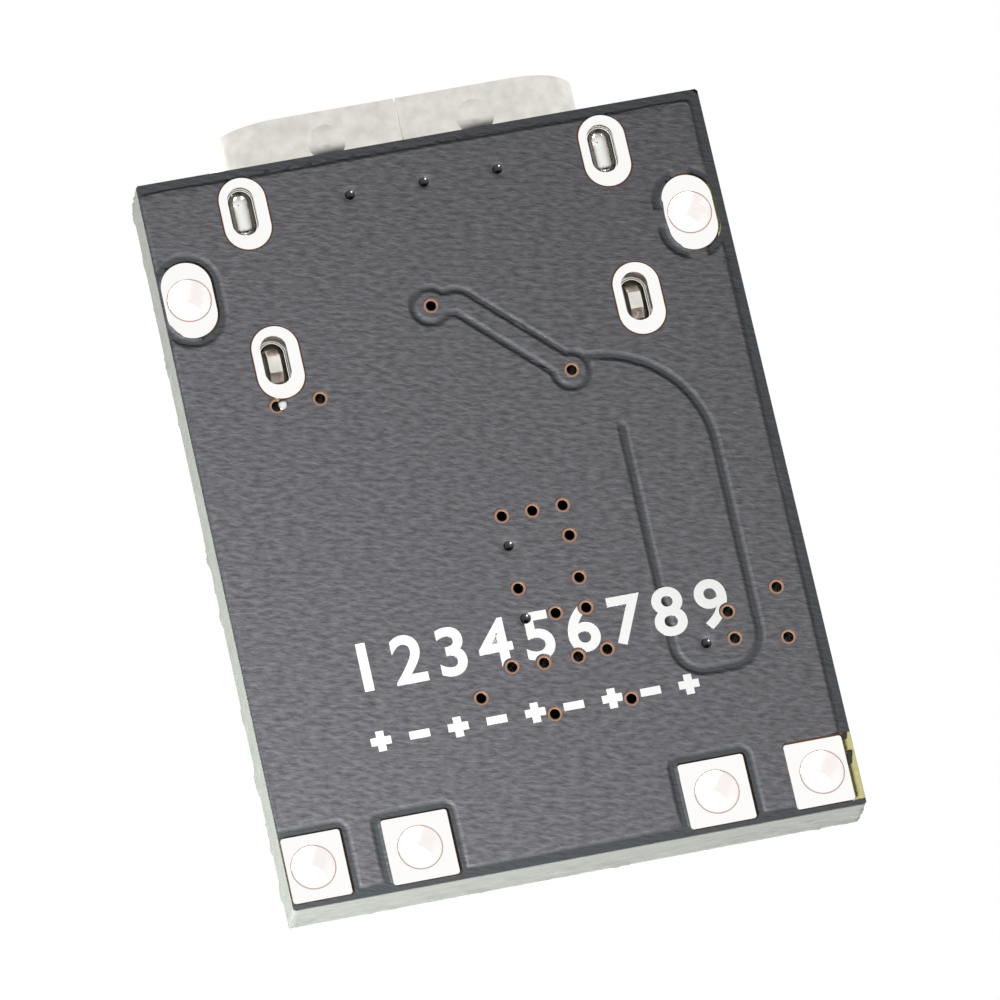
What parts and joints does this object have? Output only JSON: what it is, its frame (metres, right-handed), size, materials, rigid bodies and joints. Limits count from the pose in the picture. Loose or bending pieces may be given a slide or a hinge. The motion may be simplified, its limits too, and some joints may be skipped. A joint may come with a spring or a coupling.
{
  "type": "lithium battery charger module",
  "caption": "Small black circuit board that charges one lithium cell, with a USB-C socket at one end, plated wire pads at its sides and far end, and its chips on one face.",
  "frame": {"origin": "middle of the board's bare back face, which is the plane z = 0", "axes": "+Z out of the face that carries the parts, +Y along the board towards the socket's mouth, +X across the board"},
  "size_m": [0.0136, 0.0194, 0.0048],
  "materials": {
    "glass_fibre": "routed glass-fibre laminate",
    "copper": "bare copper foil",
    "black_mask": "satin black solder mask",
    "tinned_copper": "bright hot-air tin",
    "solder": "bright solder",
    "plated_steel": "nickel plated folded sheet",
    "latch_steel": "stamped stainless sheet",
    "socket_nylon": "moulded glass-filled nylon",
    "gold_plated_bronze": "gold flash over bronze",
    "moulded_epoxy": "transfer-moulded epoxy",
    "tin_plating": "matt tin plating",
    "resistor_ceramic": "alumina with a black glaze",
    "capacitor_ceramic": "fired dielectric ceramic",
    "lamp_laminate": "white laminate",
    "clear_epoxy": "clear cast epoxy"
  },
  "bodies": {
    "root": {"battery_capacitor_body": "capacitor_ceramic", "battery_capacitor_ends": "tin_plating", "charge_lamp_base": "lamp_laminate", "charge_lamp_cap": "clear_epoxy", "charge_lamp_ends": "tin_plating", "charge_lamp_resistor_body": "resistor_ceramic", "charge_lamp_resistor_ends": "tin_plating", "charger_body": "moulded_epoxy", "charger_leads": "tin_plating", "component_lands": "copper", "contact_ground_left": "gold_plated_bronze", "contact_ground_right": "gold_plated_bronze", "contact_signal_left": "gold_plated_bronze", "contact_signal_right": "gold_plated_bronze", "contact_supply_left": "gold_plated_bronze", "contact_supply_right": "gold_plated_bronze", "current_resistor_body": "resistor_ceramic", "current_resistor_ends": "tin_plating", "edge_pad_left": "tinned_copper", "edge_pad_right": "tinned_copper", "end_pad_inner_left": "tinned_copper", "end_pad_inner_right": "tinned_copper", "end_pad_outer_left": "tinned_copper", "end_pad_outer_right": "tinned_copper", "etched_copper": "copper", "filter_capacitor_body": "capacitor_ceramic", "filter_capacitor_ends": "tin_plating", "first_cc_resistor_body": "resistor_ceramic", "first_cc_resistor_ends": "tin_plating", "full_lamp_base": "lamp_laminate", "full_lamp_cap": "clear_epoxy", "full_lamp_ends": "tin_plating", "full_lamp_resistor_body": "resistor_ceramic", "full_lamp_resistor_ends": "tin_plating", "glass_fibre_core": "glass_fibre", "input_capacitor_body": "capacitor_ceramic", "input_capacitor_ends": "tin_plating", "peg_ring_front_left": "tinned_copper", "peg_ring_front_right": "tinned_copper", "peg_ring_rear_left": "tinned_copper", "peg_ring_rear_right": "tinned_copper", "protector_body": "moulded_epoxy", "protector_leads": "tin_plating", "second_cc_resistor_body": "resistor_ceramic", "second_cc_resistor_ends": "tin_plating", "sense_resistor_body": "resistor_ceramic", "sense_resistor_ends": "tin_plating", "socket_insulator": "socket_nylon", "socket_latch_plate": "latch_steel", "socket_shell": "plated_steel", "solder_joints": "solder", "solder_mask_back": "black_mask", "solder_mask_front": "black_mask", "supply_resistor_body": "resistor_ceramic", "supply_resistor_ends": "tin_plating", "transistor_body": "moulded_epoxy", "transistor_leads": "tin_plating"}
  },
  "joints": []
}
